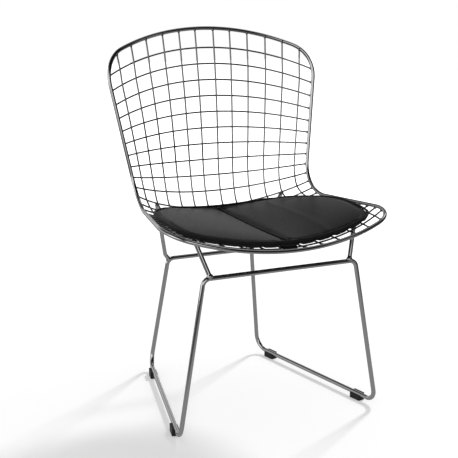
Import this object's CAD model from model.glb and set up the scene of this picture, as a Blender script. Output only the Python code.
import bpy
import math
import numpy as np
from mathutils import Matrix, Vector


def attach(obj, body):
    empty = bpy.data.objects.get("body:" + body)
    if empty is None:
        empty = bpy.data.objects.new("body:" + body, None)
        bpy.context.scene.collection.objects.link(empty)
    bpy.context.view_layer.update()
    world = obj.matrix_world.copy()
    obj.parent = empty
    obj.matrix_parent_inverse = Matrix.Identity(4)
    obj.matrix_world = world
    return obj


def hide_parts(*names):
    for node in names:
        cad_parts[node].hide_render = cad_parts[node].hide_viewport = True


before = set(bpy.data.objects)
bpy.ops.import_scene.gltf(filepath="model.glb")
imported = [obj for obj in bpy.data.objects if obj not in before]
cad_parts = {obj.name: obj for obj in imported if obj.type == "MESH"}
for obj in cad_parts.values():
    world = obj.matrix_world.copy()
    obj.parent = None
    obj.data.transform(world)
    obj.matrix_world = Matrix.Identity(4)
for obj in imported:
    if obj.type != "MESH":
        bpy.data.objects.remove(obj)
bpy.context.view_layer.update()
MM = 0.001
FRAME_BODY = "chair_frame"
PAD_BODY = "seat_pad"

# Camera at the photograph's place
cam_data = bpy.data.cameras.new("camera")
cam = bpy.data.objects.new("camera", cam_data)
bpy.context.scene.collection.objects.link(cam)
cam.location = (-0.866, -1.8405, 0.8745)
cam.rotation_euler = (math.radians(76.33), 0.0, math.radians(-24.15))
cam_data.sensor_width = 36.0
cam_data.lens = 76.75
cam_data.clip_end = 60.0
bpy.context.scene.camera = cam

# Sizes in millimetres and degrees. A heading is measured from straight down towards the front
RIM_D = 8.2
WIRE_D = 3.6
BASE_D = 9.6
STRUT_D = 9.2
WELD_SINK = 0.2
WIRE_OFFSET = (WIRE_D - WELD_SINK) / 2.0
TOP_HEADING, BOW_TURN, BOW_R = 10.9, 7.4, 2220.0
BOW_HEADING, LUMBAR_TURN, LUMBAR_R = 3.5, 14.0, 380.0
LUMBAR_HEADING, BEND_TURN, BEND_R = 17.5, 70.8, 50.0
SEAT_HEADING, SEAT_CHORD, SEAT_RUN = 88.3, 90.8, 366.7
TOP_ARCH_R, TOP_ARCH_TILT, TOP_ARCH_REACH = 413.0, 45.0, 206.0
FRONT_ARCH_R, FRONT_ARCH_TILT, FRONT_ARCH_REACH = 500.0, 40.0, 203.0
WAIST_R = 80.0

# Cross wires are numbered from the top of the back; 0 and FRONT_RIM stand for the rim itself
CROSS_COUNT = 22
BACK_COUNT = 10
FRONT_RIM = CROSS_COUNT + 1
TOP_GAP = 43.0
BEND_WIRE_ABOVE = 12.0
BEND_WIRE_BELOW = 26.5
FIRST_END_DROP = 94.5
LAST_END_BACK = 83.8
SHOULDER_COUNT, END_GAP_SHOULDER, END_GAP_FALL = 8, 31.5, 9.0
WAIST_COUNT, END_GAP_WAIST = 4, 20.5
END_GAP_SEAT = 24.2
LONG_SHARES = (0.0885, 0.249, 0.415, 0.583, 0.738, 0.888)
MESH_TOP_HALF = 249.0
MESH_FRONT_HALF = 239.0

# Sides of the tubes, and how far their lines may stray
ROD_SIDES, WIRE_SIDES, PIPING_SIDES = 20, 12, 14
ROD_TOL, WIRE_TOL = 0.02, 0.03

X = np.array([1.0, 0.0, 0.0])
Y = np.array([0.0, 1.0, 0.0])
Z = np.array([0.0, 0.0, 1.0])
FLIP = np.array([-1.0, 1.0, 1.0])


def vec(*p):
    return np.array(p, float)


def unit(v):
    return v / np.linalg.norm(v)


def straight(a, b):
    """Points of a straight line, about 2 mm apart."""
    n = max(2, int(np.linalg.norm(b - a) / 2.0))
    return a + (b - a) * np.linspace(0, 1, n)[:, None]


def sampled_arc(p0, t0, p1, step=0.05):
    """Points of the arc that leaves p0 along t0 and ends at p1."""
    chord = p1 - p0
    side = chord - t0 * chord.dot(t0)
    if np.linalg.norm(side) < 1e-4 * np.linalg.norm(chord):
        return straight(p0, p1)
    side = unit(side)
    radius = chord.dot(chord) / (2.0 * chord.dot(side))
    centre = p0 + side * radius
    a = (p0 - centre) / radius
    turn = 2.0 * math.atan2(chord.dot(side), chord.dot(t0))
    n = max(3, int(abs(turn) / step) + 2, int(radius * abs(turn) / 2.0))
    t = np.linspace(0, turn, n)[:, None]
    return centre + radius * (a * np.cos(t) + t0 * np.sin(t))


def biarc(p0, t0, p1, t1):
    """Points of two arcs that leave p0 along t0 and reach p1 along t1."""
    v = p1 - p0
    t = t0 + t1
    a = 2.0 * (1.0 - t0.dot(t1))
    b = v.dot(t)
    d = v.dot(v) / (2.0 * b) if a < 1e-9 else (math.sqrt(b * b + a * v.dot(v)) - b) / a
    q0 = p0 + t0 * d
    q1 = p1 - t1 * d
    mid = (q0 + q1) / 2.0
    return np.vstack([sampled_arc(p0, t0, mid), sampled_arc(mid, unit(q1 - q0), p1)[1:]])


def joined(parts):
    out = [parts[0]]
    for p in parts[1:]:
        out.append(p[1:] if np.linalg.norm(p[0] - out[-1][-1]) < 1e-6 else p)
    return np.vstack(out)


def chain(points):
    """A smooth line of biarcs through the points."""
    pts = [np.asarray(p, float) for p in points]
    tans = [None] * len(pts)
    for i in range(1, len(pts) - 1):
        a, b = pts[i] - pts[i - 1], pts[i + 1] - pts[i]
        la, lb = np.linalg.norm(a), np.linalg.norm(b)
        tans[i] = unit(a * lb / la + b * la / lb)
    c0, c1 = unit(pts[1] - pts[0]), unit(pts[-1] - pts[-2])
    tans[0] = unit(c0 * (2 * c0.dot(tans[1])) - tans[1])
    tans[-1] = unit(c1 * (2 * c1.dot(tans[-2])) - tans[-2])
    return joined([biarc(pts[i], tans[i], pts[i + 1], tans[i + 1]) for i in range(len(pts) - 1)])


def bent(points, radii):
    """Straight lines between the points, with a bend of each radius at the corners."""
    parts = []
    here = points[0]
    for i in range(1, len(points) - 1):
        a, b = unit(points[i] - points[i - 1]), unit(points[i + 1] - points[i])
        turn = math.acos(np.clip(a.dot(b), -1, 1))
        reach = radii[i - 1] * math.tan(turn / 2.0)
        p, q = points[i] - a * reach, points[i] + b * reach
        parts.append(straight(here, p))
        parts.append(sampled_arc(p, a, q))
        here = q
    parts.append(straight(here, points[-1]))
    return joined(parts)


class Path:
    """A line of close points that can be asked for a place and a direction at a length."""

    def __init__(self, pts):
        keep = np.r_[True, np.linalg.norm(np.diff(pts, axis=0), axis=1) > 1e-7]
        self.p = pts[keep]
        self.s = np.r_[0, np.cumsum(np.linalg.norm(np.diff(self.p, axis=0), axis=1))]
        self.length = self.s[-1]

    def at(self, s):
        return np.array([np.interp(s, self.s, self.p[:, i]) for i in range(3)]).T

    def way(self, s):
        a = self.at(max(s - 0.5, 0.0))
        b = self.at(min(s + 0.5, self.length))
        return unit(b - a)

    def where(self, test, low=0.0):
        """The length past low from which test holds."""
        high = self.length
        for _ in range(45):
            mid = (low + high) / 2.0
            if test(self.at(mid)):
                high = mid
            else:
                low = mid
        return (low + high) / 2.0


def mirrored(half):
    """Points of a closed loop from those of its right half."""
    return np.vstack([half, (half * FLIP)[::-1][1:]])


# Profile of the mesh along its middle
def heading(h):
    return vec(0, -math.sin(math.radians(h)), -math.cos(math.radians(h)))


def back_step(point, h, turn, radius):
    """Where an arc begins that turns by turn and reaches point along heading h."""
    sign = 1.0 if turn > 0 else -1.0
    return point + heading(h + 90 * sign) * radius - heading(h - turn + 90 * sign) * radius


SEAT_BACK = vec(0, 133.9, 384.0)
LUMBAR = back_step(SEAT_BACK, SEAT_HEADING, BEND_TURN, BEND_R)
BOW = back_step(LUMBAR, LUMBAR_HEADING, LUMBAR_TURN, LUMBAR_R)
TOP = back_step(BOW, BOW_HEADING, -BOW_TURN, BOW_R)
FRONT = SEAT_BACK + heading(SEAT_CHORD) * SEAT_RUN
profile_arcs = [
    sampled_arc(TOP, heading(TOP_HEADING), BOW),
    sampled_arc(BOW, heading(BOW_HEADING), LUMBAR),
    sampled_arc(LUMBAR, heading(LUMBAR_HEADING), SEAT_BACK),
    sampled_arc(SEAT_BACK, heading(SEAT_HEADING), FRONT),
]
profile = Path(joined(profile_arcs))
BEND_START = BOW_R * math.radians(BOW_TURN) + LUMBAR_R * math.radians(LUMBAR_TURN)


def arch_point(apex, down, radius, x):
    return apex + vec(x, 0, 0) + down * (radius - math.sqrt(radius**2 - x**2))


def arch_way(down, radius, x):
    turn = math.asin(x / radius)
    return X * math.cos(turn) + down * math.sin(turn)


# The rim's right half, from the top of the back to the front of the seat
front_tilt = math.radians(FRONT_ARCH_TILT)
FALL = heading(TOP_ARCH_TILT)
CLIMB = vec(0, math.cos(front_tilt), math.sin(front_tilt))
SHOULDER = TOP + vec(244.0, -73.0, -114.4)
WAIST = SEAT_BACK + vec(202.5, -21.9, 41.3)
KNEE = FRONT + vec(244.0, 110.8, 44.2)
top_end = arch_point(TOP, FALL, TOP_ARCH_R, TOP_ARCH_REACH)
top_way = arch_way(FALL, TOP_ARCH_R, TOP_ARCH_REACH)
front_end = arch_point(FRONT, CLIMB, FRONT_ARCH_R, FRONT_ARCH_REACH)
front_way = -arch_way(CLIMB, FRONT_ARCH_R, FRONT_ARCH_REACH)
rim_parts = [
    sampled_arc(TOP, X, top_end),
    biarc(top_end, top_way, SHOULDER, unit(WAIST - SHOULDER)),
    bent([SHOULDER, WAIST, KNEE], [WAIST_R]),
    biarc(KNEE, unit(KNEE - WAIST), front_end, front_way),
    sampled_arc(front_end, front_way, FRONT),
]
rim_half = Path(joined(rim_parts))


def centre_length(k):
    """Length along the profile at which cross wire k passes."""
    back_gap = (BEND_START - BEND_WIRE_ABOVE - TOP_GAP) / (BACK_COUNT - 1)
    seat_gap = (profile.length - BEND_START - BEND_WIRE_BELOW) / (CROSS_COUNT - BACK_COUNT)
    if k <= BACK_COUNT:
        return 0.0 if k == 0 else TOP_GAP + back_gap * (k - 1)
    return BEND_START + BEND_WIRE_BELOW + seat_gap * (k - BACK_COUNT - 1)


def end_gap(k):
    """Share of the rim between the ends of cross wires k and k + 1."""
    if k <= SHOULDER_COUNT:
        return END_GAP_SHOULDER - END_GAP_FALL * (k - 1) / (SHOULDER_COUNT - 1)
    return END_GAP_WAIST if k <= SHOULDER_COUNT + WAIST_COUNT else END_GAP_SEAT


first_end = rim_half.where(lambda p: p[0] > TOP_ARCH_REACH and p[2] < TOP[2] - FIRST_END_DROP)
last_end = rim_half.where(lambda p: p[1] < FRONT[1] + LAST_END_BACK)
end_gaps = [end_gap(k) for k in range(1, CROSS_COUNT)]
rim_at = [first_end]
for gap in end_gaps:
    rim_at.append(rim_at[-1] + gap * (last_end - first_end) / sum(end_gaps))
middles = [profile.at(centre_length(k)) for k in range(FRONT_RIM + 1)]
tips = [None] + [rim_half.at(s) for s in rim_at]


def circle_of(middle, tip):
    """Apex, radius and direction of rise of a cross wire through its middle and its tip."""
    rise = vec(0, tip[1] - middle[1], tip[2] - middle[2])
    radius = (tip[0] ** 2 + rise.dot(rise)) / (2 * np.linalg.norm(rise))
    return middle, radius, unit(rise)


circles = [(TOP, TOP_ARCH_R, FALL)]
circles += [circle_of(middles[k], tips[k]) for k in range(1, FRONT_RIM)]
circles.append((FRONT, FRONT_ARCH_R, CLIMB))


def half_width(k):
    if k == 0:
        return MESH_TOP_HALF
    return MESH_FRONT_HALF if k == FRONT_RIM else tips[k][0]


def mesh_point(k, share):
    """Place and direction across, on cross wire k or the rim, at a share of its half width."""
    x = share * half_width(k)
    if k == 0:
        s = rim_half.where(lambda p: p[0] > x or p[2] < SHOULDER[2])
        return rim_half.at(s), rim_half.way(s)
    if k == FRONT_RIM:
        s = rim_half.where(lambda p: p[0] < x and p[1] < KNEE[1], low=last_end)
        return rim_half.at(s), -rim_half.way(s)
    m, r, rise = circles[k]
    return arch_point(m, rise, r, x), arch_way(rise, r, x)


def mesh_normal(k, share):
    across = mesh_point(k, share)[1]
    down = unit(mesh_point(min(k + 1, FRONT_RIM), share)[0] - mesh_point(max(k - 1, 0), share)[0])
    if across[0] < 0:
        across = -across
    return unit(np.cross(down, across))


cross_lines = [None]
for k in range(1, FRONT_RIM):
    low = middles[k] - mesh_normal(k, 0.0) * WIRE_OFFSET
    end = tips[k] - mesh_normal(k, 1.0) * WIRE_OFFSET
    cross_lines.append(circle_of(low, end))


def tuned(path, tol):
    """Fewest places along a path that keep within tol of it, as lengths."""
    p, s = path.p, path.s
    keep = {0, len(p) - 1}
    stack = [(0, len(p) - 1)]
    while stack:
        i, j = stack.pop()
        if j - i < 2:
            continue
        chord = p[j] - p[i]
        n = np.linalg.norm(chord)
        rel = p[i + 1 : j] - p[i]
        if n < 1e-9:
            d = np.linalg.norm(rel, axis=1)
        else:
            d = np.linalg.norm(rel - np.outer(rel @ chord / n**2, chord), axis=1)
        m = int(d.argmax())
        if d[m] > tol:
            m += i + 1
            keep.add(m)
            stack += [(i, m), (m, j)]
    return s[sorted(keep)]


def material_of(obj, material):
    obj.data.materials.clear()
    obj.data.materials.append(material)


def piece(name, node, verts, faces, material, body):
    """A piece of the scene that stands in for a node of the CAD and rides on a body."""
    mesh = bpy.data.meshes.new(name)
    mesh.from_pydata([tuple(v) for v in np.asarray(verts) * MM], [], faces)
    mesh.validate()
    mesh.polygons.foreach_set("use_smooth", [True] * len(mesh.polygons))
    obj = bpy.data.objects.new(name, mesh)
    bpy.context.scene.collection.objects.link(obj)
    material_of(obj, material)
    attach(obj, body)
    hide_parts(node)
    return obj


def tube(path, diameter, around, tol, extra=(), swell=None, closed=False, end_plane=None, longest=14.0):
    """Vertices and faces of a round rod.

    swell(s) gives the radius to add at a length. end_plane is a point and a normal that cut its end.
    """
    lengths = np.unique(np.round(np.r_[tuned(path, tol), np.asarray(extra, float)], 4))
    lengths = lengths[(lengths >= 0) & (lengths <= path.length)]
    filled = [lengths[0]]
    for s in lengths[1:]:
        n = int((s - filled[-1]) / longest) + 1
        filled += list(filled[-1] + (s - filled[-1]) * np.arange(1, n + 1) / n)
    lengths = np.array(filled)
    pts = path.at(lengths)
    ways = np.array([path.way(s) for s in lengths])
    if closed:
        pts, ways, lengths = pts[:-1], ways[:-1], lengths[:-1]
        ways[0] = unit(path.at(0.5) - path.at(path.length - 0.5))
    sides = [unit(np.cross(ways[0], Z if abs(ways[0][2]) < 0.9 else X))]
    for w in ways[1:]:
        sides.append(unit(sides[-1] - w * sides[-1].dot(w)))
    verts = []
    angles = np.arange(around) * 2 * math.pi / around
    for i, (p, w, a) in enumerate(zip(pts, ways, sides)):
        b = np.cross(w, a)
        r = diameter / 2.0 + (swell(lengths[i]) if swell else 0.0)
        ring = p + r * (np.outer(np.cos(angles), a) + np.outer(np.sin(angles), b))
        if end_plane is not None and i == len(pts) - 1:
            q, n = end_plane
            ring = ring + np.outer(((q - ring) @ n) / w.dot(n), w)
        verts.append(ring)
    count = len(pts)
    verts = np.vstack(verts)
    faces = []
    turn = 0
    if closed:
        last = sides[-1] - ways[0] * sides[-1].dot(ways[0])
        b0 = np.cross(ways[0], sides[0])
        turn = int(round(math.atan2(last.dot(b0), last.dot(sides[0])) / (2 * math.pi / around)))
    for i in range(count if closed else count - 1):
        a = i * around
        b = ((i + 1) % count) * around
        shift = turn if closed and i == count - 1 else 0
        for j in range(around):
            k = (j + 1) % around
            faces.append((a + j, a + k, b + (k + shift) % around, b + (j + shift) % around))
    if not closed:
        verts = np.vstack([verts, pts[0], verts[-around:].mean(0)])
        c0, c1 = count * around, count * around + 1
        for j in range(around):
            k = (j + 1) % around
            faces.append((c0, k, j))
            faces.append((c1, (count - 1) * around + j, (count - 1) * around + k))
    return verts, [tuple(reversed(f)) for f in faces]


# Materials
def nodes_of(name):
    m = bpy.data.materials.new(name)
    m.use_nodes = True
    nt = m.node_tree
    return m, nt, nt.nodes["Principled BSDF"]


def link(nt, a, b):
    nt.links.new(a, b)


def noise(nt, scale, detail=3.0):
    coord = nt.nodes.new("ShaderNodeTexCoord")
    tex = nt.nodes.new("ShaderNodeTexNoise")
    tex.inputs["Scale"].default_value = scale
    tex.inputs["Detail"].default_value = detail
    link(nt, coord.outputs["Object"], tex.inputs["Vector"])
    return tex.outputs["Fac"]


def ramp(nt, source, low, high, out_low, out_high, kind="LINEAR"):
    r = nt.nodes.new("ShaderNodeMapRange")
    r.interpolation_type = kind
    for name, value in (("From Min", low), ("From Max", high), ("To Min", out_low), ("To Max", out_high)):
        r.inputs[name].default_value = value
    link(nt, source, r.inputs["Value"])
    return r.outputs["Result"]


def smooth_ramp(nt, source, low, high, out_low, out_high):
    return ramp(nt, source, low, high, out_low, out_high, "SMOOTHSTEP")


def mix_colour(nt, factor, a, b):
    m = nt.nodes.new("ShaderNodeMix")
    m.data_type = "RGBA"
    m.inputs["A"].default_value = (*a, 1)
    m.inputs["B"].default_value = (*b, 1)
    link(nt, factor, m.inputs["Factor"])
    return m.outputs["Result"]


def bumped(nt, bsdf, height, strength, distance):
    bump = nt.nodes.new("ShaderNodeBump")
    bump.inputs["Strength"].default_value = strength
    bump.inputs["Distance"].default_value = distance
    link(nt, height, bump.inputs["Height"])
    link(nt, bump.outputs["Normal"], bsdf.inputs["Normal"])


def chrome(name, tint, rough_low, rough_high):
    m, nt, bsdf = nodes_of(name)
    bsdf.inputs["Metallic"].default_value = 1.0
    blotch = noise(nt, 18.0, 4.0)
    link(nt, ramp(nt, blotch, 0.35, 0.7, rough_low, rough_high), bsdf.inputs["Roughness"])
    low = tuple(c * 0.94 for c in tint)
    link(nt, mix_colour(nt, blotch, low, tint), bsdf.inputs["Base Color"])
    bumped(nt, bsdf, noise(nt, 160.0, 2.0), 0.03, 0.0006)
    return m


def vinyl(name, dark, light, rough_low, rough_high, gloss):
    m, nt, bsdf = nodes_of(name)
    bsdf.inputs["Specular IOR Level"].default_value = gloss
    grain = nt.nodes.new("ShaderNodeTexVoronoi")
    grain.feature = "DISTANCE_TO_EDGE"
    grain.inputs["Scale"].default_value = 900.0
    coord = nt.nodes.new("ShaderNodeTexCoord")
    link(nt, coord.outputs["Object"], grain.inputs["Vector"])
    link(nt, mix_colour(nt, noise(nt, 9.0, 4.0), dark, light), bsdf.inputs["Base Color"])
    fine = noise(nt, 420.0)
    link(nt, ramp(nt, fine, 0.3, 0.7, rough_low, rough_high), bsdf.inputs["Roughness"])
    height = nt.nodes.new("ShaderNodeMath")
    height.operation = "MULTIPLY_ADD"
    height.inputs[1].default_value = 0.5
    link(nt, grain.outputs["Distance"], height.inputs[0])
    link(nt, fine, height.inputs[2])
    bumped(nt, bsdf, height.outputs["Value"], 0.25, 0.0004)
    return m


def plastic(name, colour):
    m, nt, bsdf = nodes_of(name)
    fine = noise(nt, 700.0)
    light = tuple(c * 1.5 + 0.003 for c in colour)
    link(nt, mix_colour(nt, fine, colour, light), bsdf.inputs["Base Color"])
    link(nt, ramp(nt, fine, 0.3, 0.7, 0.38, 0.52), bsdf.inputs["Roughness"])
    bumped(nt, bsdf, fine, 0.15, 0.0002)
    return m


CHROME = chrome("chrome_plate", (0.58, 0.58, 0.59), 0.05, 0.11)
WIRE = chrome("wire_plate", (0.25, 0.25, 0.26), 0.05, 0.11)
VINYL = vinyl("black_vinyl", (0.0075, 0.0075, 0.008), (0.0125, 0.0125, 0.013), 0.34, 0.46, 0.21)
TRIM = vinyl("black_vinyl_trim", (0.005, 0.005, 0.0055), (0.008, 0.008, 0.0085), 0.46, 0.58, 0.32)
GLIDE = plastic("glide_plastic", (0.004, 0.004, 0.0045))
FOAM = plastic("cut_foam", (0.55, 0.50, 0.38))
STUD = chrome("stud_nickel", (0.55, 0.54, 0.52), 0.2, 0.35)

# Rim rod
verts, faces = tube(Path(mirrored(rim_half.p)), RIM_D, ROD_SIDES, ROD_TOL, closed=True, longest=12.0)
piece("rim", "rim_rod", verts, faces, CHROME, FRAME_BODY)

# Wires, whose ends swell into their welds against the rim
WELD_SIZE = 1.1
WELD_FALL = 1.5
WELD_STEPS = (3.2, 4.2, 4.8, 5.4, 6.2, 7.2, 8.6)


def wire(name, node, points):
    path = Path(points)

    def swell(s):
        past = (max(end - RIM_D / 2.0, 0.0) for end in (s, path.length - s))
        return sum(WELD_SIZE * math.exp(-((end / WELD_FALL) ** 2)) for end in past)

    extra = list(WELD_STEPS) + [path.length - s for s in WELD_STEPS]
    verts, faces = tube(path, WIRE_D, WIRE_SIDES, WIRE_TOL, extra=extra, swell=swell)
    piece(name, node, verts, faces, WIRE, FRAME_BODY)


for k in range(1, FRONT_RIM):
    m, r, rise = cross_lines[k]
    xs = np.linspace(-tips[k][0], tips[k][0], 200)
    wire("cross_rod_%d" % k, "cross_wire_%d" % k, np.array([arch_point(m, rise, r, x) for x in xs]))

for j, share in enumerate(LONG_SHARES):
    points = []
    for k in range(FRONT_RIM + 1):
        n = mesh_normal(k, share)
        if k in (0, FRONT_RIM):
            points.append(mesh_point(k, share)[0] + n * WIRE_OFFSET)
        else:
            m, r, rise = cross_lines[k]
            points.append(arch_point(m, rise, r, mesh_point(k, share)[0][0]) + n * 2 * WIRE_OFFSET)
    right = chain(points)
    for number, pts in ((7 + j, right), (6 - j, right * FLIP)):
        wire("long_rod_%d" % number, "long_wire_%d" % number, pts)

# Sled base: one closed rod
BAR_FRONT, FOOT_FRONT = vec(170.0, -168.5, 334.0), vec(226.0, -176.5, 13.0)
FOOT_REAR, BAR_REAR = vec(141.0, 232.5, 13.0), vec(106.0, 196.5, 277.0)
BASE_BENDS = [16.0, 25.0, 30.0, 16.0]
MIDDLE = vec(0, 1, 1)
base_corners = [BAR_FRONT * MIDDLE, BAR_FRONT, FOOT_FRONT, FOOT_REAR, BAR_REAR, BAR_REAR * MIDDLE]
base_half = bent(base_corners, BASE_BENDS)
verts, faces = tube(Path(mirrored(base_half)), BASE_D, ROD_SIDES, ROD_TOL, closed=True, longest=16.0)
piece("sled_base", "base_rod", verts, faces, CHROME, FRAME_BODY)

# Struts, each with a fillet of weld where it leaves the base
STRUT_SHARE = LONG_SHARES[4]
STRUT_SINK = 0.3
FRONT_STRUT_WIRE = 21
REAR_STRUT_WIRE = 11
FILLET_SIZE, FILLET_START, FILLET_FALL = 2.2, 4.4, 2.4
FOOT_STEPS = [3.5, 4.6, 5.4, 6.4, 7.6, 9.0, 11.0]
HEAD_STEPS = [1.0, 2.5, 4.0, 6.0]


def under_mesh(k, sink):
    """Underside of cross wire k above a strut, less sink, and the mesh's normal there."""
    n = mesh_normal(k, STRUT_SHARE)
    m, r, rise = cross_lines[k]
    x = mesh_point(k, STRUT_SHARE)[0][0]
    return arch_point(m, rise, r, x) - n * (WIRE_D / 2.0 - sink), n


def strut_end(k, start):
    """Where a strut's middle line meets the underside of the mesh."""
    seat, n = under_mesh(k, 0.0)
    way = unit(mesh_point(k, STRUT_SHARE)[0] - start)
    return start + way * ((seat - start).dot(n) / way.dot(n))


def fillet(s):
    return FILLET_SIZE * math.exp(-((max(s - FILLET_START, 0.0) / FILLET_FALL) ** 2))


def strut(end, side, points, k):
    path = Path(points)
    steps = FOOT_STEPS + [path.length - s for s in HEAD_STEPS]
    plane = under_mesh(k, STRUT_SINK)
    verts, faces = tube(path, STRUT_D, ROD_SIDES, ROD_TOL, extra=steps, swell=fillet, end_plane=plane)
    if side == "left":
        verts = verts * FLIP
        faces = [tuple(reversed(f)) for f in faces]
    name = "%s_%s_" % (end, side)
    piece(name + "stay", name + "strut", verts, faces, CHROME, FRAME_BODY)


front_start = vec(155.5, -168.5, 334.0)
base_path = Path(base_half)
rear_start = base_path.at(base_path.where(lambda p: p[1] > 0 and p[0] < 103.0, low=base_path.length * 0.6))
rear_knee = BAR_REAR + vec(8.0, -1.5, 11.0)
front_line = np.vstack([front_start, strut_end(FRONT_STRUT_WIRE, front_start)])
rear_line = bent([rear_start, rear_knee, strut_end(REAR_STRUT_WIRE, rear_knee)], [14.0])
for side in ("right", "left"):
    strut("front", side, front_line, FRONT_STRUT_WIRE)
    strut("rear", side, rear_line, REAR_STRUT_WIRE)

# Seat pad, seen from above: its outline and the thickness of its edge, groove and crown
PAD_FRONT = cross_lines[CROSS_COUNT][0][1] - 2.0
PAD_REAR = 151.0
PAD_HALF = 215.0
PAD_WIDEST_Y = -67.0
PAD_STAND = 0.65
CORNER_HALF, CORNER_SET = 176.0, 26.0
EDGE_FRONT, EDGE_FRONT_FALL = 9.0, 3.4
EDGE_REAR, EDGE_REAR_RISE = 5.4, 0.2
GROOVE_THICK, GROOVE_TO_CROWN = 7.0, 12.0
CROWN_THICK, CROWN_TO_EDGE = 19.0, 13.4
CROWN_HALF = 105.0
corner = vec(CORNER_HALF, PAD_FRONT + CORNER_SET, 0)
widest = vec(PAD_HALF, PAD_WIDEST_Y, 0)
flank = vec(150.0, 98.0, 0)
corner_turn = math.asin(CORNER_HALF / ((CORNER_HALF**2 + CORNER_SET**2) / (2 * CORNER_SET)))
front_arc = sampled_arc(vec(0, PAD_FRONT, 0), X, corner, 0.01)
corner_arc = biarc(corner, vec(math.cos(corner_turn), math.sin(corner_turn), 0), widest, Y)
flank_arc = sampled_arc(widest, Y, flank, 0.01)
rear_arc = biarc(flank, unit(flank_arc[-1] - flank_arc[-2]), vec(0, PAD_REAR, 0), -X)
front_edge = joined([front_arc, corner_arc])
rear_edge = joined([flank_arc, rear_arc])[::-1]
outline = mirrored(joined([front_arc, corner_arc, flank_arc, rear_arc]))


def seat_height(x, y):
    """Height of the middle of the mesh at places on the seat."""
    x = np.abs(x)
    ys, zs = [], []
    for m, r, rise in circles[BACK_COUNT:]:
        drop = r - np.sqrt(r * r - x * x)
        ys.append(m[1] + rise[1] * drop)
        zs.append(m[2] + rise[2] * drop)
    z = np.where(y > ys[0], zs[0], zs[-1])
    for i in range(len(ys) - 1):
        inside = (y <= ys[i]) & (y >= ys[i + 1])
        t = (y - ys[i + 1]) / (ys[i] - ys[i + 1])
        z = np.where(inside, zs[i + 1] + (zs[i] - zs[i + 1]) * t, z)
    return z


def pad_low(x, y):
    """Height of the pad's underside, just over the long wires."""
    across = (seat_height(np.abs(x) + 1.0, y) - seat_height(np.abs(x) - 1.0, y)) / 2.0
    along = (seat_height(x, y + 1.0) - seat_height(x, y - 1.0)) / 2.0
    stand = WIRE_OFFSET + WIRE_D / 2.0 + PAD_STAND
    return seat_height(x, y) + stand * np.sqrt(1.0 + across**2 + along**2)


def edge_height(x, y):
    """Thickness of the pad at its border."""
    t = np.minimum(np.abs(x) / PAD_HALF, 1.0) ** 2
    return np.where(y < PAD_WIDEST_Y, EDGE_FRONT - EDGE_FRONT_FALL * t, EDGE_REAR + EDGE_REAR_RISE * t)


def edges_at(x):
    """Where the pad's front and rear edges are at places across it."""
    x = np.abs(x)
    front = np.interp(x, front_edge[:, 0], front_edge[:, 1])
    rear = np.interp(x, rear_edge[:, 0], rear_edge[:, 1])
    return front, rear


def pad_crown(x, y):
    """Thickness of the stuffed pad: full in each half, drawn in at the edge and at the groove."""
    x = np.abs(x)
    near = GROOVE_THICK + GROOVE_TO_CROWN * np.sin(np.pi / 2 * np.minimum(x / CROWN_HALF, 1.0)) ** 0.8
    far = CROWN_THICK - CROWN_TO_EDGE * np.clip((x - CROWN_HALF) / (PAD_HALF - CROWN_HALF), 0, 1) ** 2
    full = np.where(x < CROWN_HALF, near, far)
    front, rear = edges_at(x)
    share = np.clip((y - front) / np.maximum(rear - front, 1.0), 0, 1)
    border = edge_height(x, -99.0) * (1 - share) + edge_height(x, 99.0) * share
    return border + (full - border) * (4 * share * (1 - share)) ** 0.75


def wire_gap(x, y):
    """0 over a long wire and 1 in the gaps beside it."""
    reach = np.interp(-y, [-m[1] for m in tips[12:]], [m[0] for m in tips[12:]])
    off = np.min([np.abs(np.abs(x) - share * reach) for share in LONG_SHARES], axis=0)
    return 1.0 - np.exp(-((off / 5.5) ** 4))


def border_dip(x, y, depth):
    """How far the border dips between the long wires: fully in front, less towards the rear."""
    return depth * wire_gap(x, y) * np.clip((70.0 - y) / 80.0, 0, 1)


# The pad's plan is a square of cells drawn out to the outline, its middle column on the groove
PAD_MIDDLE = vec(0, -52.0, 0)
BORDER_DIP = 3.1
turns = np.unwrap(np.arctan2(outline[:, 1] - PAD_MIDDLE[1], outline[:, 0]))
slope = np.gradient(outline[:, :2], axis=0)
normals = np.stack([slope[:, 1], -slope[:, 0]], 1) / np.linalg.norm(slope, axis=1)[:, None]


def on_outline(angle):
    """Places on the outline in these directions from the middle, and the way out of it there."""
    a = turns[0] + np.mod(angle - turns[0], 2 * np.pi)
    place = np.stack([np.interp(a, turns, outline[:, i]) for i in (0, 1)], -1)
    out = np.stack([np.interp(a, turns, normals[:, i]) for i in (0, 1)], -1)
    return place, out / np.linalg.norm(out, axis=-1, keepdims=True)


def quad_faces(n):
    """Faces of a square grid of n by n vertices."""
    corners = [i * n + j for i in range(n - 1) for j in range(n - 1)]
    return [(c, c + 1, c + n + 1, c + n) for c in corners]


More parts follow.
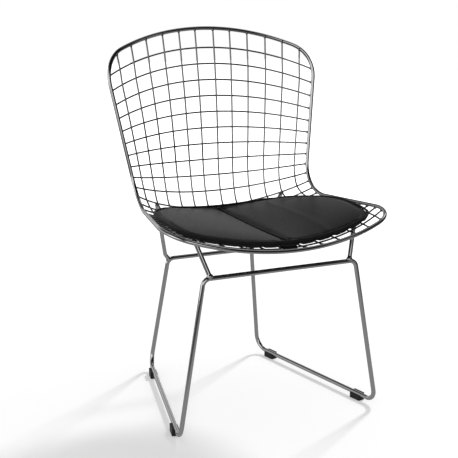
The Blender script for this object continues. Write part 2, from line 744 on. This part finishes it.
def pad_mesh(cells, inset, rows, height):
    """Vertices and faces of a closed pad, the plan of its top and how far out each place is, 0 to 1.

    rows go down its side: outwards, share of the edge's height, height to add, share of the dip.
    """
    n = cells + 1
    line = np.linspace(-1, 1, n)
    u, v = np.meshgrid(line, line)
    dx, dy = u * np.sqrt(1 - v * v / 2), v * np.sqrt(1 - u * u / 2)
    r = np.hypot(dx, dy)
    place, out = on_outline(np.arctan2(dy, dx))
    plan = PAD_MIDDLE[:2] + (place - inset * out - PAD_MIDDLE[:2]) * r[..., None]
    x, y = plan[..., 0].ravel(), plan[..., 1].ravel()
    low = pad_low(x, y)
    grid = np.arange(n * n).reshape(n, n)
    loop = np.r_[grid[0, :-1], grid[:-1, -1], grid[-1, :0:-1], grid[:0:-1, 0]]
    edge, way = place.reshape(-1, 2)[loop], out.reshape(-1, 2)[loop]
    edge_low = pad_low(edge[:, 0], edge[:, 1])
    lip = edge_height(edge[:, 0], edge[:, 1])
    dip = border_dip(edge[:, 0], edge[:, 1], BORDER_DIP)
    verts = [np.stack([x, y, low + height(x, y)], 1)]
    rings = [loop]
    for i, (outwards, share, rise, droop) in enumerate(rows):
        verts.append(np.column_stack([edge + way * outwards, edge_low + lip * share + rise - dip * droop]))
        rings.append(n * n + i * len(loop) + np.arange(len(loop)))
    verts.append(np.stack([x, y, low], 1))
    base_index = n * n + len(rows) * len(loop)
    rings.append(base_index + loop)
    faces = quad_faces(n)
    for a, b in zip(rings[:-1], rings[1:]):
        for j in range(len(loop)):
            k = (j + 1) % len(loop)
            faces.append((a[k], a[j], b[j], b[k]))
    faces += [tuple(base_index + i for i in reversed(f)) for f in quad_faces(n)]
    return np.vstack(verts), [tuple(int(i) for i in f) for f in faces], x, y, r.ravel()


# The cloth is simulated at ten times its size, in twenty frames
BIG = 10
LAST_FRAME = 20


def settled(verts, faces, pinned, cap):
    """The pad's top panel blown up by cloth simulation, kept within cap of where it began."""
    mesh = bpy.data.meshes.new("panel")
    mesh.from_pydata([tuple(v) for v in verts * MM * BIG], [], faces)
    obj = bpy.data.objects.new("panel", mesh)
    bpy.context.scene.collection.objects.link(obj)
    group = obj.vertex_groups.new(name="sewn")
    group.add([int(i) for i in np.flatnonzero(pinned)], 1.0, "ADD")
    mod = obj.modifiers.new("cloth", "CLOTH")
    cloth = mod.settings
    cloth.quality = 6
    cloth.mass = 0.3
    cloth.tension_stiffness = 12
    cloth.compression_stiffness = 6
    cloth.shear_stiffness = 4
    cloth.bending_stiffness = 2.0
    cloth.vertex_group_mass = "sewn"
    cloth.use_pressure = True
    cloth.uniform_pressure_force = 4.0
    cloth.shrink_min = -0.012
    cloth.effector_weights.gravity = 0.0
    mod.collision_settings.use_collision = False
    scene = bpy.context.scene
    for step in range(1, LAST_FRAME + 1):
        scene.frame_set(step)
    posed = obj.evaluated_get(bpy.context.evaluated_depsgraph_get())
    seen = posed.to_mesh()
    out = np.zeros(len(seen.vertices) * 3)
    seen.vertices.foreach_get("co", out)
    out = out.reshape(-1, 3) / (MM * BIG)
    posed.to_mesh_clear()
    bpy.data.objects.remove(obj)
    bpy.data.meshes.remove(mesh)
    scene.frame_set(1)
    move = out - verts
    size = np.linalg.norm(move, axis=1, keepdims=True)
    return verts + move * np.minimum(1.0, cap / np.maximum(size, 1e-9))


def hump(distance, width):
    return np.exp(-((distance / width) ** 2))


# Sewn cover, darker along its groove, on its border and down its side
COVER_CELLS = 80
COVER_INSET = 2.4
COVER_ROWS = [
    (-0.9, 1.0, -0.9, 0.3),
    (-0.2, 1.0, -2.0, 0.4),
    (0.5, 0.6, 0.0, 0.6),
    (0.9, 0.42, 0.0, 0.8),
    (0.8, 0.22, 0.0, 1.0),
    (0.1, 0.0, 0.5, 1.0),
    (-1.4, 0.0, 0.1, 0.7),
]
SEWN_SHARE, SEWN_HALF = 0.97, 3.0
SETTLE_CAP = 2.0
BORDER_SHARE, CREASE_HALF = 0.976, 5.5


def cover_height(x, y):
    """Thickness of the pad with its groove, puckered seams, drawn-in edges and one soft roll."""
    ax = np.abs(x)
    front_y, rear_y = edges_at(x)
    rear = rear_y - y
    front = y - front_y
    valley = 3.4 * hump(ax, 8.5) * np.clip(0.45 + np.minimum(rear, front) / 25.0, 0.45, 1)
    seams = 0.45 * np.sin(x / 4.1 + 1.3 * np.sin(x / 17.0)) * hump(rear, 16.0)
    seams += 0.22 * np.sin(x / 5.3 + 0.9 * np.sin(x / 23.0)) * hump(front, 9.0)
    seams *= np.clip((ax - 9.0) / 12.0, 0, 1)
    seams -= 1.5 * hump(front, 5.0) + 0.8 * hump(rear, 4.0)
    seams -= 2.2 * (1.0 - np.clip(front / 75.0, 0, 1)) ** 2
    roll = 0.7 * hump(x - 96.0, 7.0) * np.clip(rear / 40.0, 0, 1)
    return pad_crown(x, y) - valley + seams + roll + 0.2


verts, faces, gx, _, gr = pad_mesh(COVER_CELLS, COVER_INSET, COVER_ROWS, cover_height)
panel = (COVER_CELLS + 1) ** 2
pinned = (gr > SEWN_SHARE) | (np.abs(gx) < SEWN_HALF)
verts[:panel] = settled(verts[:panel], quad_faces(COVER_CELLS + 1), pinned, SETTLE_CAP)
cover = piece("pad_cover_skin", "pad_cover", verts, faces, VINYL, PAD_BODY)
cover.data.materials.append(TRIM)
for i, face in enumerate(faces):
    crease = np.abs(verts[list(face), 0].mean()) < CREASE_HALF
    if i >= COVER_CELLS**2 or crease or gr[list(face)].max() > BORDER_SHARE:
        cover.data.polygons[i].material_index = 1
smooth = cover.modifiers.new("smooth", "SUBSURF")
smooth.levels = 1
smooth.render_levels = 1

# Foam, kept below the cover and clear of its groove
FOAM_CELLS = 40
FOAM_INSET = 5.0
FOAM_ROWS = [(-4.4, 0.45, 0.0, 0), (-3.8, 0.3, 0.0, 0), (-4.2, 0.2, 0.0, 0)]
FOAM_LIFT = 1.2


def foam_height(x, y):
    return pad_crown(x, y) - 2.4 - 3.4 * hump(x, 11.0)


verts, faces, *_ = pad_mesh(FOAM_CELLS, FOAM_INSET, FOAM_ROWS, foam_height)
verts[-((FOAM_CELLS + 1) ** 2) :, 2] += FOAM_LIFT
foam = piece("pad_foam_block", "pad_foam", verts, faces, FOAM, PAD_BODY)

# Piping round the border, its height evened out where the edge's height steps
PIPING_D, PIPING_OUT, PIPING_DIP = 5.0, 1.9, 0.5
EVENED = 9
px, py = outline[:, 0], outline[:, 1]
lip = edge_height(px, py)
window = 2 * EVENED + 1
lip = np.convolve(np.r_[lip[-EVENED:], lip, lip[:EVENED]], np.ones(window) / window, "valid")
piping_z = pad_low(px, py) + lip - border_dip(px, py, PIPING_DIP)
piping_line = np.column_stack([outline[:, :2] + normals * PIPING_OUT, piping_z])
piping_line[-1] = piping_line[0]
verts, faces = tube(Path(piping_line), PIPING_D, PIPING_SIDES, ROD_TOL, closed=True, longest=5.0)
piece("pad_piping", "pad_edge_piping", verts, faces, TRIM, PAD_BODY)

# Welt along the groove
WELT_D, WELT_RISE = 4.4, 0.7
groove_y = np.linspace(PAD_FRONT + 1.0, PAD_REAR - 1.0, 80)
groove_x = np.zeros_like(groove_y)
groove_z = pad_low(groove_x, groove_y) + pad_crown(groove_x, groove_y) + WELT_RISE
groove = Path(np.column_stack([groove_x, groove_y, groove_z]))
verts, faces = tube(groove, WELT_D, PIPING_SIDES, ROD_TOL, longest=5.0)
piece("pad_welt", "pad_centre_welt", verts, faces, TRIM, PAD_BODY)

# Straps, each a strip that goes round its cross wire and ends in a tail under the pad
STRAP_HALF = 16.5
STRAP_ROUND = 0.72
STRAP_RING = WIRE_D / 2.0 + 0.6 + 0.75
STRAP_TAIL = (6.0, 12.0, 18.0, 21.6)
STRAP_END_SHARE = 0.55


def strap(name, node, k):
    m = cross_lines[k][0]
    turn = np.radians(np.linspace(35, -270, 30))
    ring = [vec(0, m[1] + STRAP_RING * math.cos(a), m[2] + STRAP_RING * math.sin(a)) for a in turn]
    tail = [vec(0, m[1] + y, m[2] + STRAP_RING) for y in STRAP_TAIL]
    path = Path(np.array(ring + tail))
    lengths = tuned(path, 0.01)
    pts = path.at(lengths)
    section = []
    for sign in (1, -1):
        for a in (math.radians(d) for d in (-90, -45, 0, 45, 90)):
            x = sign * (STRAP_HALF - STRAP_ROUND) + sign * STRAP_ROUND * math.cos(a)
            section.append((x, sign * STRAP_ROUND * math.sin(a)))
    verts = []
    for i, (p, s) in enumerate(zip(pts, lengths)):
        normal = np.cross(X, path.way(s))
        shrink = STRAP_END_SHARE if i in (0, len(pts) - 1) else 1.0
        for x, t in section:
            verts.append(p + X * x + normal * t * shrink)
    n = len(section)
    faces = [tuple(range(n))[::-1], tuple((len(pts) - 1) * n + j for j in range(n))]
    for i in range(len(pts) - 1):
        for j in range(n):
            k = (j + 1) % n
            faces.append((i * n + j, i * n + k, (i + 1) * n + k, (i + 1) * n + j))
    piece(name, node, verts, faces, TRIM, FRAME_BODY)


strap("front_strap_loop", "front_strap", 22)
strap("rear_strap_loop", "rear_strap", 14)


# Pieces carried over from the CAD
def carried(node, material):
    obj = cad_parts[node]
    material_of(obj, material)
    for slot in obj.material_slots:
        slot.material = material


for node in ("front_right_glide", "front_left_glide", "rear_right_glide", "rear_left_glide"):
    carried(node, GLIDE)
for node in ("strap_studs", "pad_sockets"):
    carried(node, STUD)


# Floor and studio. The camera sees white; the metal reflects a dim room with soft boxes
def math_node(nt, op, a, b):
    n = nt.nodes.new("ShaderNodeMath")
    n.operation = op
    link(nt, a, n.inputs[0])
    link(nt, b, n.inputs[1])
    return n.outputs["Value"]


def along_axis(nt, way, axis):
    dot = nt.nodes.new("ShaderNodeVectorMath")
    dot.operation = "DOT_PRODUCT"
    dot.inputs[1].default_value = tuple(axis)
    link(nt, way, dot.inputs[0])
    return dot.outputs["Value"]


def soft_box(nt, way, axis, wide, soft, bright):
    """A soft box seen in a direction: bright within wide degrees of its axis, gone at soft degrees."""
    near = along_axis(nt, way, unit(vec(*axis)))
    return smooth_ramp(nt, near, math.cos(math.radians(soft)), math.cos(math.radians(wide)), 0.0, bright)


def shader(nt, kind, grey, strength=None):
    """A shader of one grey, its strength a number or a socket."""
    n = nt.nodes.new(kind)
    n.inputs["Color"].default_value = (grey, grey, grey, 1)
    if isinstance(strength, float):
        n.inputs["Strength"].default_value = strength
    elif strength is not None:
        link(nt, strength, n.inputs["Strength"])
    return n.outputs[0]


def mixed(nt, factor, a, b):
    n = nt.nodes.new("ShaderNodeMixShader")
    link(nt, factor, n.inputs["Fac"])
    link(nt, a, n.inputs[1])
    link(nt, b, n.inputs[2])
    return n.outputs[0]


FLOOR_GLOW = 0.34
floor_material = bpy.data.materials.new("studio_floor")
floor_material.use_nodes = True
nt = floor_material.node_tree
nt.nodes.clear()
out = nt.nodes.new("ShaderNodeOutputMaterial")
rays = nt.nodes.new("ShaderNodeLightPath")
place = nt.nodes.new("ShaderNodeNewGeometry")
far = nt.nodes.new("ShaderNodeVectorMath")
far.operation = "LENGTH"
link(nt, place.outputs["Position"], far.inputs[0])
diffuse = shader(nt, "ShaderNodeBsdfDiffuse", 0.8)
glow = smooth_ramp(nt, far.outputs["Value"], 1.0, 3.0, FLOOR_GLOW, 1.0)
white_floor = nt.nodes.new("ShaderNodeAddShader")
link(nt, diffuse, white_floor.inputs[0])
link(nt, shader(nt, "ShaderNodeEmission", 1.0, glow), white_floor.inputs[1])
parts = nt.nodes.new("ShaderNodeSeparateXYZ")
link(nt, place.outputs["Position"], parts.inputs[0])
dim = smooth_ramp(nt, parts.outputs["Y"], -0.5, 1.0, 0.07, 0.33)
mirror = smooth_ramp(nt, far.outputs["Value"], 0.6, 1.9, 0.36, 0.0)
link(nt, dim, mirror.node.inputs["To Max"])
mirror_floor = shader(nt, "ShaderNodeEmission", 1.0, mirror)
seen = mixed(nt, rays.outputs["Is Glossy Ray"], diffuse, mirror_floor)
link(nt, mixed(nt, rays.outputs["Is Camera Ray"], seen, white_floor.outputs[0]), out.inputs["Surface"])

floor_mesh = bpy.data.meshes.new("floor")
floor_mesh.from_pydata([(-6, -6, 0), (6, -6, 0), (6, 10, 0), (-6, 10, 0)], [], [(0, 1, 2, 3)])
floor = bpy.data.objects.new("floor", floor_mesh)
bpy.context.scene.collection.objects.link(floor)
material_of(floor, floor_material)

# The lamp isn't seen in reflections: the last soft box below takes its place there
lamp = bpy.data.lights.new("key", "AREA")
lamp.energy = 168
lamp.size = 0.75
key = bpy.data.objects.new("key", lamp)
key.location = (3.4, 2.2, 4.0)
key.rotation_euler = (Vector((0, 0, 0.2)) - key.location).to_track_quat("-Z", "Y").to_euler()
key.visible_glossy = False
bpy.context.scene.collection.objects.link(key)

# Axis, degrees of full brightness, degrees of none, brightness
SOFT_BOXES = (
    ((-0.94, -0.22, 0.26), 14, 36, 1.00),
    ((-0.28, -0.90, 0.32), 9, 24, 1.30),
    ((0.70, -0.70, 0.10), 3, 10, 0.50),
    ((0.47, 0.13, 0.87), 6, 22, 0.35),
    ((0.61, 0.40, 0.68), 5, 12, 1.60),
)
AMBIENT = 0.52
world = bpy.data.worlds.new("studio")
bpy.context.scene.world = world
world.use_nodes = True
nt = world.node_tree
nt.nodes.clear()
out = nt.nodes.new("ShaderNodeOutputWorld")
rays = nt.nodes.new("ShaderNodeLightPath")
coord = nt.nodes.new("ShaderNodeTexCoord")
way = coord.outputs["Generated"]
split = nt.nodes.new("ShaderNodeSeparateXYZ")
link(nt, way, split.inputs[0])
light = smooth_ramp(nt, along_axis(nt, way, (-0.5, 0.87, 0.0)), -0.1, 0.5, 0.03, 0.66)
light = math_node(nt, "MULTIPLY", light, smooth_ramp(nt, split.outputs["Z"], 0.22, 0.68, 1.0, 0.15))
for axis, wide, soft, bright in SOFT_BOXES:
    light = math_node(nt, "ADD", light, soft_box(nt, way, axis, wide, soft, bright))
mirror_world = shader(nt, "ShaderNodeBackground", 1.0, light)
white_world = shader(nt, "ShaderNodeBackground", 1.0, 1.0)
ambient = shader(nt, "ShaderNodeBackground", 1.0, AMBIENT)
seen = mixed(nt, rays.outputs["Is Glossy Ray"], ambient, mirror_world)
link(nt, mixed(nt, rays.outputs["Is Camera Ray"], seen, white_world), out.inputs["Surface"])

bpy.context.scene.view_settings.view_transform = "Standard"
